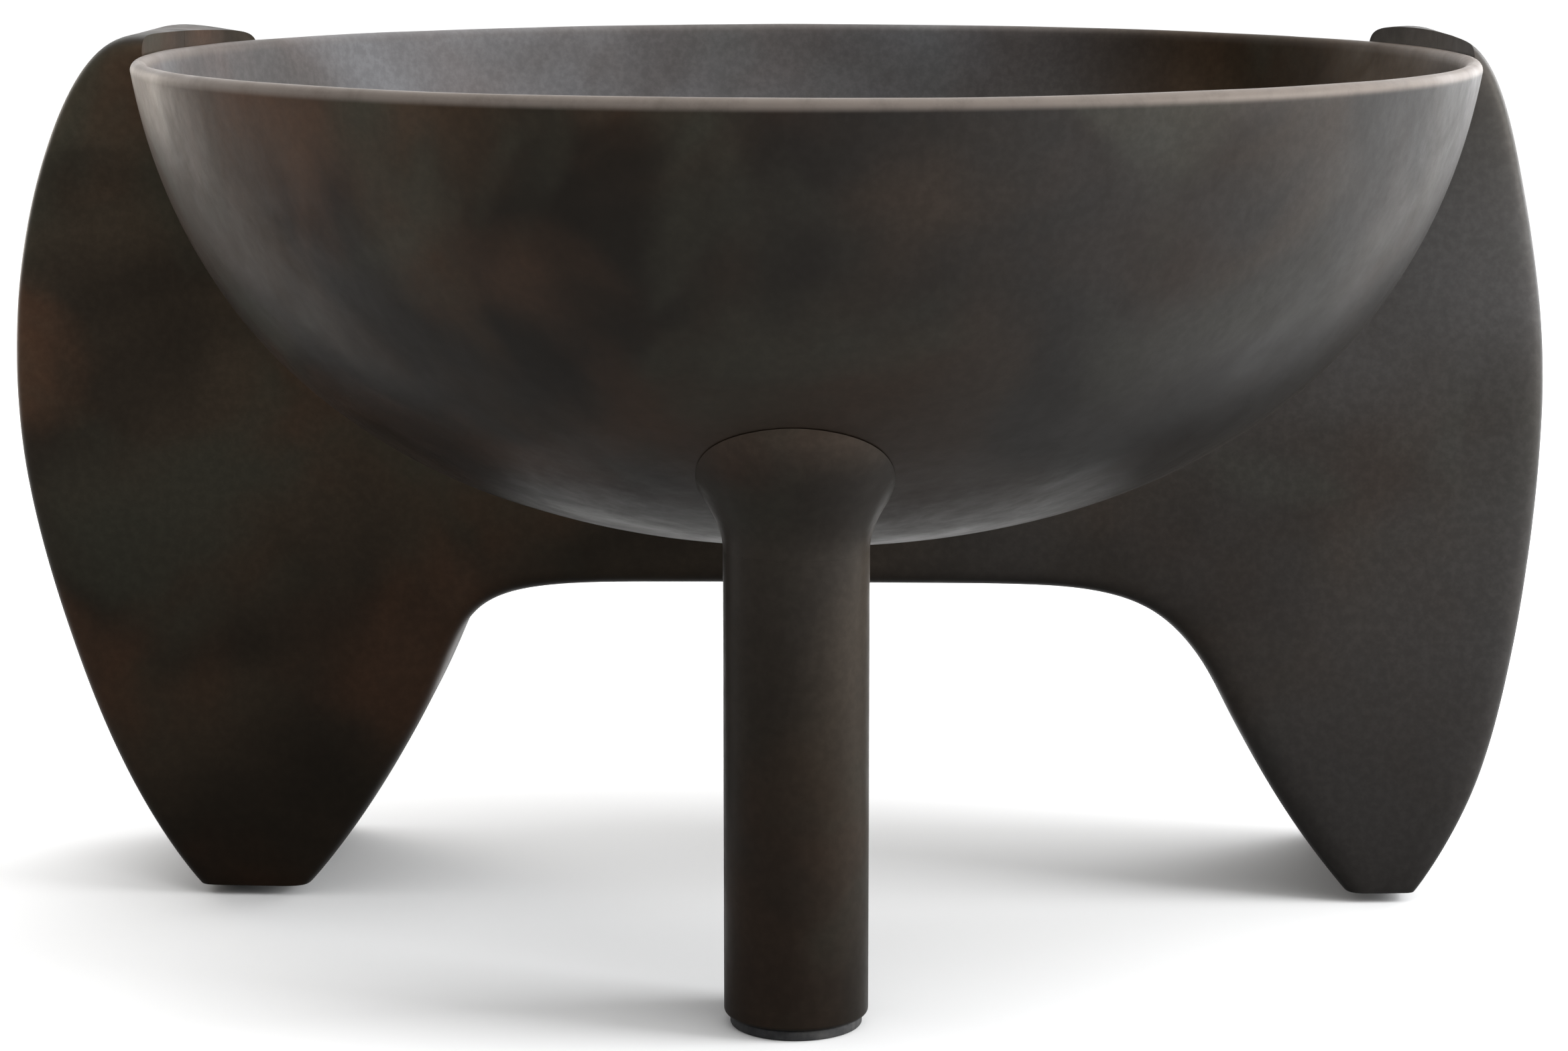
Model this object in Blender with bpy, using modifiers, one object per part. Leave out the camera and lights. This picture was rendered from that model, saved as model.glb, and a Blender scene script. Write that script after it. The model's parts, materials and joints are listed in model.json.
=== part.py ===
"""Three-legged fire bowl: a cast bowl held in a thick rear yoke and by one flared front leg.

Metres, +Z up, the front leg towards -Y. The floor is z = 0 and the bowl's axis is vertical.
"""

from math import atan2, cos, pi, radians, sin

import bmesh
import bpy
from mathutils import Matrix, Vector

OBJECT = "fire_bowl_hearth"

# Driving dimensions
RIM_RADIUS = 0.380
RIM_HEIGHT = 0.493
BOWL_BOTTOM = 0.224
BOWL_WALL = 0.0105
YOKE_DEPTH = 0.170
YOKE_WALL = 0.008
LEG_RADIUS = 0.0383
LEG_WALL = 0.004
LEG_Y = -0.232
GLIDE = 0.006
GAP = 0.0003
AXIS_X = 0.0172  # the bowl's axis, with X = 0 midway across the yoke

# Bowl: the outer curve leaves the bottom level and reaches the rim at a slant
BOTTOM_PULL = 0.213
RIM_PULL = Vector((0.028, 0.171))
BOWL_ROWS = 13
BOWL_SIDES = 52
LIP_STEPS = 4
BORE_ROOM = 0.0004
SEAT = BOWL_WALL - 0.0008  # flat seats for screw heads, sunk into the inside of the bowl

# Yoke, right half: outer and inner edge of each station, from the middle to the foot
YOKE_STATIONS = (
    ((0.000, 0.494), (0.000, 0.188)),
    ((0.150, 0.494), (0.085, 0.188)),
    ((0.324, 0.499), (0.160, 0.188)),
    ((0.388, 0.522), (0.205, 0.176)),
    ((0.411, 0.440), (0.233, 0.145)),
    ((0.430, 0.340), (0.248, 0.114)),
    ((0.428, 0.240), (0.264, 0.085)),
    ((0.416, 0.140), (0.280, 0.058)),
    ((0.398, 0.060), (0.302, 0.026)),
    ((0.354, -0.010), (0.332, -0.010)),
)
LEFT_LOBE_EXTRA = 0.036  # the left lobe is this much wider, from this height up
LEFT_LOBE_FROM = 0.300
LOBE_TOP_SHARE = 0.50  # and it loses this share of the extra over its top
LOBE_TOP_FROM = 0.440
LEFT_LEG_EXTRA = 0.025  # the left leg is this much wider on its inner side, below this height
LEFT_LEG_BELOW = 0.210
LEFT_FADE = 0.080
YOKE_EDGE = 0.030  # how far from its edges the yoke starts to round over
NARROW_EDGE = 0.3  # but never more than this share of its width
YOKE_LEVELS = 2
CAVITY_LEVELS = 1
SIDES = (("left", -1), ("right", 1))
REACH = 0.7  # cutters reach this far out, clear of the whole hearth
FOOT_X = {"left": -0.338, "right": 0.346}
FOOT_SOLID_TO = 0.040  # the feet are solid up to this height
SEAM_Y = YOKE_DEPTH / 2

# Front leg and its flare
FLARE_RADIUS = 0.069
FLARE_FROM, FLARE_TO = 0.256, 0.326
COLLAR_TOP = 0.400  # the collar's blank, before the bowl is cut out of it
SPIGOT_LENGTH = 0.030
TIE_RADIUS = 0.006
TIE_HEAD, TIE_HEAD_HEIGHT = 0.015, 0.007
TIE_NUT_RADIUS, TIE_NUT_HEIGHT = 0.011, 0.010
NUT_RECESS_RADIUS, NUT_RECESS_TOP = 0.015, 0.024
BOSS_RADIUS = 0.021
BOSS_TOP = 0.318
DRAIN_RADIUS = 0.0125
DRAIN_HEAD = 0.021
DRAIN_Y = -0.070
DRAIN_NUT_RADIUS, DRAIN_NUT_LOW = 0.020, -0.0125

# Straps and screws
STRAP_WALL = 0.005
STRAP_X = (0.20, 0.42)
STRAP_Z = 0.325
STRAP_HEIGHT = 0.050
STRAP_Y = (0.030, 0.140)
BOLT_Y = (0.056, 0.114)
BOLT_RADIUS = 0.004
BOLT_HEAD = 0.010
BOLT_NUT_RADIUS, BOLT_NUT_HEIGHT, BOLT_TAIL = 0.0078, 0.0065, 0.009
SHELL_SCREWS = (("upper", 0.368, 0.345), ("lower", 0.342, 0.090))
SHELL_BOSS_RADIUS = 0.011
SHELL_SCREW_RADIUS = 0.003
SHELL_SCREW_HEAD, SHELL_SCREW_LENGTH, SHELL_SCREW_DEPTH = 0.0065, 0.095, 0.022
GLIDE_WIDTH, GLIDE_LENGTH = 0.040, 0.116
GLIDE_SCREW_Y = (0.048, 0.122)
GLIDE_SCREW_RADIUS, GLIDE_SCREW_HEAD, GLIDE_SCREW_LENGTH = 0.0020, 0.0046, 0.022

# Fire grate
GRATE_RADIUS = 0.190
GRATE_THICK = 0.008
GRATE_EASE = 0.0022  # room between its edge and the bowl, so that it rests without binding
GRATE_CHAMFER = 0.0015
GRATE_SLOTS = 7
GRATE_SLOT_WIDTH = 0.016
GRATE_SLOT_STEP = 0.044
GRATE_RIM = 0.022
GRATE_SPINE = 0.008  # half the width of the bar across the middle

PATINA = ("patinated_iron", (0.075, 0.060, 0.049), 0.48, 0.75)
STEEL = ("dark_steel", (0.060, 0.058, 0.056), 0.42, 0.9)
ZINC = ("zinc_steel", (0.42, 0.42, 0.41), 0.38, 1.0)
RUBBER = ("black_rubber", (0.012, 0.012, 0.013), 0.85, 0.0)
CAST = ("raw_cast_iron", (0.045, 0.042, 0.040), 0.7, 0.6)


# Scene and object helpers

def clear_scene():
    for old in list(bpy.data.objects):
        bpy.data.objects.remove(old, do_unlink=True)


def make_collection(name):
    collection = bpy.data.collections.new(name)
    bpy.context.scene.collection.children.link(collection)
    return collection


def set_material(obj, look):
    name, colour, roughness, metallic = look
    material = bpy.data.materials.new(f"{obj.name}_{name}")
    material.use_nodes = True
    shader = material.node_tree.nodes["Principled BSDF"]
    shader.inputs["Base Color"].default_value = (*colour, 1.0)
    shader.inputs["Roughness"].default_value = roughness
    shader.inputs["Metallic"].default_value = metallic
    obj.data.materials.clear()
    obj.data.materials.append(material)


def add_object(name, mesh, look=None):
    """A sub-part where a look is given, and otherwise a hidden cutter."""
    obj = bpy.data.objects.new(name, mesh)
    if look:
        parts.objects.link(obj)
        set_material(obj, look)
    else:
        cutters.objects.link(obj)
        obj.hide_render = True
        obj.display_type = "WIRE"
    obj.parent = bowl_axis
    return obj


def shade(obj, angle=35):
    obj.data.shade_smooth()
    obj.data.set_sharp_from_angle(angle=radians(angle))


def mesh_from(name, bm):
    bmesh.ops.recalc_face_normals(bm, faces=bm.faces)
    mesh = bpy.data.meshes.new(name)
    bm.to_mesh(mesh)
    bm.free()
    return mesh


def box(name, low, high, look=None):
    low, high = Vector(low), Vector(high)
    bm = bmesh.new()
    bmesh.ops.create_cube(bm, size=1.0)
    bmesh.ops.scale(bm, vec=high - low, verts=bm.verts)
    bmesh.ops.translate(bm, vec=(low + high) / 2, verts=bm.verts)
    return add_object(name, mesh_from(name, bm), look)


def rod(name, radius, low, high, sides=16, look=None, place=None):
    """A cylinder or prism on its local Z axis, from low to high."""
    bm = bmesh.new()
    bmesh.ops.create_cone(bm, cap_ends=True, segments=sides, radius1=radius, radius2=radius,
                          depth=high - low)
    bmesh.ops.translate(bm, vec=(0, 0, (low + high) / 2), verts=bm.verts)
    obj = add_object(name, mesh_from(name, bm), look)
    obj.matrix_local = place or Matrix()
    return obj


def turned(name, profile, sides, look=None, place=None):
    """A solid of revolution: the profile runs down its outer side, and both ends are on Z or join."""
    bm = bmesh.new()
    points = [bm.verts.new((radius, 0, height)) for radius, height in profile]
    for first, second in zip(points, points[1:]):
        bm.edges.new((first, second))
    mesh = bpy.data.meshes.new(name)
    bm.to_mesh(mesh)
    bm.free()
    obj = add_object(name, mesh, look)
    obj.matrix_local = place or Matrix()
    screw = obj.modifiers.new("Turn", "SCREW")
    screw.steps = screw.render_steps = sides
    screw.use_merge_vertices = True
    screw.merge_threshold = 0.00001
    return obj


def boolean(obj, other, operation="DIFFERENCE"):
    modifier = obj.modifiers.new(f"{operation.title()} {other.name}", "BOOLEAN")
    modifier.operation = operation
    modifier.object = other
    return modifier


def arc(centre, radius, start, end, steps):
    """Points from one angle to another, in degrees, about (r, z)."""
    turns = (radians(start + (end - start) * i / steps) for i in range(steps + 1))
    return [(centre[0] + radius * cos(a), centre[1] + radius * sin(a)) for a in turns]


# The bowl's curve

def ease(x):
    x = min(max(x, 0.0), 1.0)
    return x * x * (3 - 2 * x)


def curve_point(t):
    """Radius and height on the bowl's outer curve, from the bottom (0) to the rim (1)."""
    ends = (Vector((0, BOWL_BOTTOM)), Vector((RIM_RADIUS, RIM_HEIGHT)))
    pulls = (Vector((BOTTOM_PULL, BOWL_BOTTOM)), ends[1] - RIM_PULL)
    s = 1 - t
    return s**3 * ends[0] + 3 * s * s * t * pulls[0] + 3 * s * t * t * pulls[1] + t**3 * ends[1]


def curve_normal(t):
    """Unit normal in the (radius, height) plane, out of the bowl and downwards."""
    step = 0.001
    along = curve_point(min(t + step, 1)) - curve_point(max(t - step, 0))
    return Vector((along.y, -along.x)).normalized()


def bowl_curve(offset, rows=BOWL_ROWS):
    """The curve moved out by an offset, from the rim down to the axis."""
    points = []
    for i in range(rows, 0, -1):
        t = i / rows
        points.append(tuple(curve_point(t) + offset * curve_normal(t)))
    return points + [(0.0, BOWL_BOTTOM - offset)]


def curve_where(axis, value, offset=0.0):
    """Where the offset curve passes a radius (axis 0) or a height (axis 1)."""
    low, high = 0.0, 1.0
    for _ in range(40):
        middle = (low + high) / 2
        point = curve_point(middle) + offset * curve_normal(middle)
        low, high = (middle, high) if point[axis] < value else (low, middle)
    return low


def bowl_solid(name, offset):
    """The solid inside the bowl's outer curve moved out by an offset, carried up past the rim."""
    curve = bowl_curve(offset)
    return turned(name, [(0.0, REACH), (curve[0][0], REACH), *curve], BOWL_SIDES)


# Sub-parts

def make_bowl():
    outer = bowl_curve(0.0)
    inner = bowl_curve(-BOWL_WALL)
    normal = curve_normal(1.0)
    lip_centre = curve_point(1.0) - normal * BOWL_WALL / 2
    lean = atan2(normal.y, normal.x) * 180 / pi
    lip = arc(lip_centre, BOWL_WALL / 2, 180 + lean, lean, LIP_STEPS)
    bowl = turned("fire_bowl", [*reversed(inner[1:]), *lip, *outer[1:]], BOWL_SIDES, PATINA)
    boss = rod("boss_blank", BOSS_RADIUS, 0.25, BOSS_TOP, 28, place=leg_place)
    boolean(boss, bowl_solid("boss_limit", -BOWL_WALL / 2), "INTERSECT")
    boolean(bowl, boss, "UNION")
    boolean(bowl, rod("tie_hole", TIE_RADIUS + BORE_ROOM, 0.2, 0.4, place=leg_place))
    boolean(bowl, rod("drain_hole", DRAIN_RADIUS + BORE_ROOM, -0.03, 0.03, 24, place=drain_place))
    boolean(bowl, rod("drain_seat", DRAIN_HEAD + 2 * GAP, SEAT, SEAT + 0.02, 24, place=drain_place))
    shade(bowl)
    return bowl


def yoke_stations():
    """Outer and inner edges of every station, from the left foot round to the right foot."""
    left = []
    for (outer_x, outer_z), (inner_x, inner_z) in YOKE_STATIONS[:0:-1]:
        top_loss = LOBE_TOP_SHARE * ease((outer_z - LOBE_TOP_FROM) / LEFT_FADE)
        lobe = LEFT_LOBE_EXTRA * ease(outer_z / LEFT_LOBE_FROM) * (1 - top_loss)
        leg = LEFT_LEG_EXTRA * ease((LEFT_LEG_BELOW - inner_z) / LEFT_FADE)
        left.append(((-outer_x - lobe, outer_z), (-inner_x + leg, inner_z)))
    return left + list(YOKE_STATIONS)


def make_yoke_blank(name, levels):
    """A coarse cage, four columns by four layers at every station, smoothed by subdivision."""
    layers = (0.0, YOKE_EDGE, YOKE_DEPTH - YOKE_EDGE, YOKE_DEPTH)
    last = len(layers) - 1
    bm = bmesh.new()
    grid = []
    for outer, inner in yoke_stations():
        outer, inner = Vector(outer), Vector(inner)
        edge = min(YOKE_EDGE / (inner - outer).length, NARROW_EDGE)
        columns = [outer.lerp(inner, share) for share in (0.0, edge, 1 - edge, 1.0)]
        grid.append([[bm.verts.new((point.x, y, point.y)) for y in layers] for point in columns])
    for near, far in zip(grid, grid[1:]):
        for a in range(last):
            for b in (0, last):
                bm.faces.new((near[a][b], near[a + 1][b], far[a + 1][b], far[a][b]))
                bm.faces.new((near[b][a], near[b][a + 1], far[b][a + 1], far[b][a]))
    for end in (grid[0], grid[-1]):
        for a in range(last):
            for b in range(last):
                bm.faces.new((end[a][b], end[a + 1][b], end[a + 1][b + 1], end[a][b + 1]))
    bmesh.ops.delete(bm, geom=[vert for vert in bm.verts if not vert.link_faces], context="VERTS")
    blank = add_object(name, mesh_from(name, bm))
    smooth = blank.modifiers.new("Soften", "SUBSURF")
    smooth.levels = smooth.render_levels = levels
    return blank


def evaluated_mesh(obj):
    graph = bpy.context.evaluated_depsgraph_get()
    return bpy.data.meshes.new_from_object(obj.evaluated_get(graph))


def make_cavity(skin):
    """The hollow of the yoke: its soft shape drawn in by the wall, clear of skin, feet and bosses."""
    bm = bmesh.new()
    bm.from_mesh(evaluated_mesh(make_yoke_blank("cavity_blank", CAVITY_LEVELS)))
    bm.normal_update()
    moves = [(vert, vert.normal.copy()) for vert in bm.verts]
    for vert, normal in moves:
        vert.co -= normal * YOKE_WALL
    cavity = add_object("yoke_cavity", mesh_from("yoke_cavity", bm))
    boolean(cavity, skin)
    boolean(cavity, box("solid_feet", (-REACH, -REACH, -REACH), (REACH, REACH, FOOT_SOLID_TO)))
    for side, sign in SIDES:
        for label, x, z in SHELL_SCREWS:
            boss = rod(f"boss_{side}_{label}", SHELL_BOSS_RADIUS, -0.05, 0.25, 16,
                       place=Matrix.Translation((sign * x, 0, z)) @ along_y)
            boolean(cavity, boss)
    return cavity


def make_shells():
    blank = make_yoke_blank("yoke_blank", YOKE_LEVELS)
    cavity = make_cavity(bowl_solid("saddle_skin", YOKE_WALL + GAP))
    recess = bowl_solid("bowl_recess", GAP)
    floor_cut = box("foot_level", (-REACH, -REACH, -REACH), (REACH, REACH, GLIDE))
    shells = []
    halves = (("front", SEAM_Y - GAP / 2, REACH), ("back", -REACH, SEAM_Y + GAP / 2))
    for label, low, high in halves:
        shell = add_object(f"yoke_{label}_shell", evaluated_mesh(blank), PATINA)
        away = box(f"beyond_{label}", (-REACH, low, -REACH), (REACH, high, REACH))
        for cutter in (away, floor_cut, cavity, recess):
            boolean(shell, cutter)
        shade(shell, 50)
        shells.append(shell)
    return shells


def surface_place(t, turn):
    """A frame on the bowl's outer surface whose Z axis points into the bowl."""
    radius, height = curve_point(t)
    normal = curve_normal(t)
    inwards = -Vector((normal.x * cos(turn), normal.x * sin(turn), normal.y))
    point = Vector((radius * cos(turn), radius * sin(turn), height))
    return Matrix.Translation(point) @ inwards.to_track_quat("Z", "Y").to_matrix().to_4x4()


def button_profile(head, thick, radius, length):
    """A dome head over a plain shank that ends at -length."""
    dome = [(head * sin(a), thick * cos(a)) for a in (radians(d) for d in (0, 30, 60, 90))]
    return [*dome, (radius, 0.0), (radius, -length), (0.0, -length)]


def nut(name, radius, bore, low, high, place, sides=12):
    body = rod(name, radius, low, high, 6, ZINC, place)
    boolean(body, rod(f"{name}_bore", bore, low - 0.01, high + 0.01, sides, place=place))
    return body


def make_straps(bowl, shells):
    """Two curved straps inside the yoke; four bolts clamp bowl, shell skins and straps together."""
    outer = bowl_solid("strap_outer", YOKE_WALL + 2 * GAP + STRAP_WALL)
    inner = bowl_solid("strap_inner", YOKE_WALL + 2 * GAP)
    level = curve_where(1, STRAP_Z)
    radius = curve_point(level).x
    nut_seat = -(YOKE_WALL + STRAP_WALL + 4 * GAP)
    for side, sign in SIDES:
        ends = sorted(sign * x for x in STRAP_X)
        strap = box(f"saddle_strap_{side}", (ends[0], STRAP_Y[0], STRAP_Z - STRAP_HEIGHT / 2),
                    (ends[1], STRAP_Y[1], STRAP_Z + STRAP_HEIGHT / 2), STEEL)
        boolean(strap, outer, "INTERSECT")
        boolean(strap, inner)
        for number, y in enumerate(BOLT_Y, 1):
            place = surface_place(level, atan2(y, sign * (radius**2 - y**2) ** 0.5))
            hole = rod(f"bolt_hole_{side}_{number}", BOLT_RADIUS + BORE_ROOM, -0.03, 0.03, place=place)
            shell = shells[0] if y < SEAM_Y else shells[1]
            for piece in (bowl, strap, shell):
                boolean(piece, hole)
            boolean(bowl, rod(f"bolt_seat_{side}_{number}", BOLT_HEAD + 2 * GAP, SEAT, SEAT + 0.02,
                              place=place))
            bolt = turned(f"saddle_bolt_{side}_{number}",
                          button_profile(BOLT_HEAD, BOLT_HEAD / 2, BOLT_RADIUS,
                                         SEAT - nut_seat + BOLT_TAIL),
                          16, STEEL, place @ Matrix.Translation((0, 0, SEAT + GAP)))
            shade(bolt)
            nut(f"saddle_nut_{side}_{number}", BOLT_NUT_RADIUS, BOLT_RADIUS + GAP,
                nut_seat - BOLT_NUT_HEIGHT, nut_seat, place)


def make_shell_screws(front, back):
    """Four screws from the back face pull the two shells together."""
    head_y = YOKE_DEPTH - SHELL_SCREW_DEPTH
    for side, sign in SIDES:
        for label, x, z in SHELL_SCREWS:
            place = Matrix.Translation((sign * x, head_y, z)) @ along_y
            boolean(back, rod(f"head_room_{side}_{label}", SHELL_SCREW_HEAD + 0.001, -0.0002, 0.08,
                              place=place))
            boolean(back, rod(f"screw_room_{side}_{label}", SHELL_SCREW_RADIUS + BORE_ROOM,
                              -0.1, 0.01, 12, place=place))
            boolean(front, rod(f"screw_tap_{side}_{label}", SHELL_SCREW_RADIUS + GAP,
                               -0.1, 0.0, 12, place=place))
            screw = turned(f"yoke_screw_{side}_{label}",
                           button_profile(SHELL_SCREW_HEAD, 0.0035, SHELL_SCREW_RADIUS,
                                          SHELL_SCREW_LENGTH),
                           12, STEEL, place @ Matrix.Translation((0, 0, GAP)))
            shade(screw)


def make_leg():
    """Flared collar, tube, foot plug, tie rod with its nut, and the round glide."""
    bore = TIE_RADIUS + BORE_ROOM
    spigot = LEG_RADIUS - LEG_WALL - GAP
    height = FLARE_TO - FLARE_FROM
    flare = [(LEG_RADIUS + (FLARE_RADIUS - LEG_RADIUS) * ease(i / 8), FLARE_FROM + height * i / 8)
             for i in range(8, -1, -1)]
    collar = turned("leg_collar", [(bore, COLLAR_TOP), (FLARE_RADIUS, COLLAR_TOP), *flare,
                                   (spigot, FLARE_FROM), (spigot, FLARE_FROM - SPIGOT_LENGTH),
                                   (bore, FLARE_FROM - SPIGOT_LENGTH), (bore, COLLAR_TOP)],
                    36, PATINA, leg_place)
    boolean(collar, bowl_solid("collar_seat", GAP))
    shade(collar)

    top = FLARE_FROM - GAP
    plug_top = GLIDE + 0.010
    inside = LEG_RADIUS - LEG_WALL
    tube = turned("front_leg", [(inside, top), (LEG_RADIUS, top), (LEG_RADIUS, plug_top + GAP),
                                (inside, plug_top + GAP), (inside, top)], 36, PATINA, leg_place)
    shade(tube)

    plug = turned("leg_foot_plug", [(bore, FOOT_SOLID_TO), (spigot, FOOT_SOLID_TO), (spigot, plug_top),
                                    (LEG_RADIUS, plug_top), (LEG_RADIUS, GLIDE + 0.001),
                                    (LEG_RADIUS - 0.001, GLIDE), (NUT_RECESS_RADIUS, GLIDE),
                                    (NUT_RECESS_RADIUS, NUT_RECESS_TOP), (bore, NUT_RECESS_TOP),
                                    (bore, FOOT_SOLID_TO)], 36, PATINA, leg_place)
    shade(plug)
    nut_top = NUT_RECESS_TOP - GAP
    nut("leg_tie_nut", TIE_NUT_RADIUS, TIE_RADIUS + GAP, nut_top - TIE_NUT_HEIGHT, nut_top, leg_place)

    head = leg_place @ Matrix.Translation((0, 0, BOSS_TOP + GAP))
    tie = turned("leg_tie_rod",
                 button_profile(TIE_HEAD, TIE_HEAD_HEIGHT, TIE_RADIUS, BOSS_TOP - 0.010), 20, STEEL, head)
    shade(tie)
    glide = turned("front_glide", [(0.0, GLIDE - GAP), (0.0340, GLIDE - GAP), (0.0350, 0.0045),
                                   (0.0350, 0.0010), (0.0340, 0.0), (0.0, 0.0)], 32, RUBBER, leg_place)
    shade(glide)


def stadium_mesh(name, width, length, height):
    """A flat strip with round ends, made as a filled curve and then a mesh."""
    curve = bpy.data.curves.new(name, "CURVE")
    curve.dimensions = "2D"
    curve.fill_mode = "BOTH"
    curve.extrude = height / 2
    spline = curve.splines.new("POLY")
    half, straight = width / 2, length / 2 - width / 2
    outline = [(x, straight + y) for x, y in arc((0, 0), half, 0, 180, 10)]
    outline += [(x, y - straight) for x, y in arc((0, 0), half, 180, 360, 10)]
    spline.points.add(len(outline) - 1)
    for point, (x, y) in zip(spline.points, outline):
        point.co = (x, y, 0, 1)
    spline.use_cyclic_u = True
    holder = bpy.data.objects.new(name, curve)
    cutters.objects.link(holder)
    bm = bmesh.new()
    bm.from_mesh(evaluated_mesh(holder))
    bpy.data.objects.remove(holder)
    bmesh.ops.remove_doubles(bm, verts=bm.verts, dist=0.00001)
    bmesh.ops.translate(bm, vec=(0, 0, height / 2), verts=bm.verts)
    return mesh_from(name, bm)


def make_rear_glides(front, back):
    """A rubber strip under each rear foot, held by one screw into each shell."""
    for side, foot_x in FOOT_X.items():
        glide = add_object(f"rear_glide_{side}",
                           stadium_mesh(f"rear_glide_{side}", GLIDE_WIDTH, GLIDE_LENGTH, GLIDE - GAP),
                           RUBBER)
        glide.location = (foot_x, SEAM_Y, 0)
        for number, (y, shell) in enumerate(zip(GLIDE_SCREW_Y, (front, back)), 1):
            place = Matrix.Translation((foot_x, y, 0))
            through = rod(f"glide_hole_{side}_{number}", 0.0024, -0.01, 0.029, 12, place=place)
            counter = rod(f"glide_counter_{side}_{number}", 0.0052, -0.01, 0.0034, 12, place=place)
            boolean(glide, through)
            boolean(glide, counter)
            boolean(shell, through)
            flip = place @ Matrix.Translation((0, 0, 0.0031)) @ Matrix.Rotation(pi, 4, "X")
            screw = turned(f"glide_screw_{side}_{number}",
                           button_profile(GLIDE_SCREW_HEAD, 0.0018, GLIDE_SCREW_RADIUS,
                                          GLIDE_SCREW_LENGTH), 12, ZINC, flip)
            shade(screw)


def make_drain():
    """A headed plug down through the bowl's floor in front of the yoke, and its nut underneath."""
    head = drain_place @ Matrix.Translation((0, 0, SEAT + GAP))
    plug = turned("drain_plug", button_profile(DRAIN_HEAD, 0.006, DRAIN_RADIUS, 0.032), 24, STEEL, head)
    shade(plug)
    nut("drain_nut", DRAIN_NUT_RADIUS, DRAIN_RADIUS + GAP, DRAIN_NUT_LOW, -2 * GAP, drain_place, 24)


def make_grate():
    """A loose round grate that rests on the bowl's inside; it lifts straight out."""
    t = curve_where(0, GRATE_RADIUS + GRATE_EASE, -BOWL_WALL)
    low = (curve_point(t) - BOWL_WALL * curve_normal(t)).y
    rest = Matrix.Translation((0, 0, low))
    grate = turned("fire_grate", [(0.0, GRATE_THICK), (GRATE_RADIUS - GRATE_CHAMFER, GRATE_THICK),
                                  (GRATE_RADIUS, GRATE_THICK - GRATE_CHAMFER), (GRATE_RADIUS, 0.0),
                                  (0.0, 0.0)], BOWL_SIDES, CAST, rest)
    for index in range(GRATE_SLOTS):
        x = (index - (GRATE_SLOTS - 1) / 2) * GRATE_SLOT_STEP
        reach = ((GRATE_RADIUS - GRATE_RIM) ** 2 - x**2) ** 0.5
        for half, near, far in (("near", -reach, -GRATE_SPINE), ("far", GRATE_SPINE, reach)):
            slot = box(f"slot_{half}_{index}", (x - GRATE_SLOT_WIDTH / 2, near, low - 0.01),
                       (x + GRATE_SLOT_WIDTH / 2, far, low + 0.02))
            boolean(grate, slot)
    shade(grate)


clear_scene()
parts = make_collection(OBJECT)
cutters = make_collection("cutters")
bowl_axis = bpy.data.objects.new("bowl_axis", None)
bowl_axis.location = (AXIS_X, 0, 0)
parts.objects.link(bowl_axis)
leg_place = Matrix.Translation((0, LEG_Y, 0))
along_y = Matrix.Rotation(-pi / 2, 4, "X")
drain_place = surface_place(curve_where(0, -DRAIN_Y), -pi / 2)

bowl_part = make_bowl()
front_shell, back_shell = make_shells()
make_straps(bowl_part, (front_shell, back_shell))
make_shell_screws(front_shell, back_shell)
make_leg()
make_rear_glides(front_shell, back_shell)
make_drain()
make_grate()
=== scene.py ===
"""Looks of the three-legged fire bowl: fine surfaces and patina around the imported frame."""

import json
from math import atan2, cos, pi, radians, sin

import bmesh
import bpy
from mathutils import Euler, Matrix, Vector


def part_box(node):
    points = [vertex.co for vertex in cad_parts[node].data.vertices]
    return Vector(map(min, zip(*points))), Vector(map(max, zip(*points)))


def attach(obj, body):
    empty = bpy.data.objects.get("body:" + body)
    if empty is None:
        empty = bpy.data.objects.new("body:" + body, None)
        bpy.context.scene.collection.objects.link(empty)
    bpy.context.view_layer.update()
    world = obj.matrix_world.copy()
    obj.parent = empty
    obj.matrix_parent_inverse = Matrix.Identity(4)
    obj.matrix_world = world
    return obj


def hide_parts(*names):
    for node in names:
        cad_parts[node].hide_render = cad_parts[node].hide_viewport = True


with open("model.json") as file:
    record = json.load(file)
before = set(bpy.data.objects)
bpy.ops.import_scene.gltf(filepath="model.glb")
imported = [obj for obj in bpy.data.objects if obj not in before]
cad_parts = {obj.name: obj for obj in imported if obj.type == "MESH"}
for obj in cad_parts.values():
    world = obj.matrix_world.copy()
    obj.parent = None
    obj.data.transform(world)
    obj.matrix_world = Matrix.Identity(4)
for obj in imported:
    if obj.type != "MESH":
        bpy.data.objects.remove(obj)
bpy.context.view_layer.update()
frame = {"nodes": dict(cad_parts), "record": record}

# Sizes read from the frame
bowl_low, bowl_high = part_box("fire_bowl")
leg_low, leg_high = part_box("front_leg")
grate_low, grate_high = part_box("fire_grate")
yoke_low, yoke_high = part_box("yoke_front_shell")[0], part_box("yoke_back_shell")[1]
RIM_RADIUS = (bowl_high.y - bowl_low.y) / 2
AXIS = Matrix.Translation(((bowl_high.x + bowl_low.x) / 2, 0, 0))
LEG_RADIUS = (leg_high.y - leg_low.y) / 2
LEG_Y = (leg_high.y + leg_low.y) / 2
YOKE_DEPTH = yoke_high.y - yoke_low.y
FLOOR_GAP = yoke_low.z

# Sizes that the design gives
GAP = 0.0002
HAIRLINE = 0.00003  # between the collar, the tube and the foot, which are ground flush
REACH = 0.7  # cutters reach this far out, clear of the whole hearth
THROUGH = 0.03  # cutters for bolt and drain holes reach this far to either side
SIDES = (("left", -1), ("right", 1))

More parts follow.
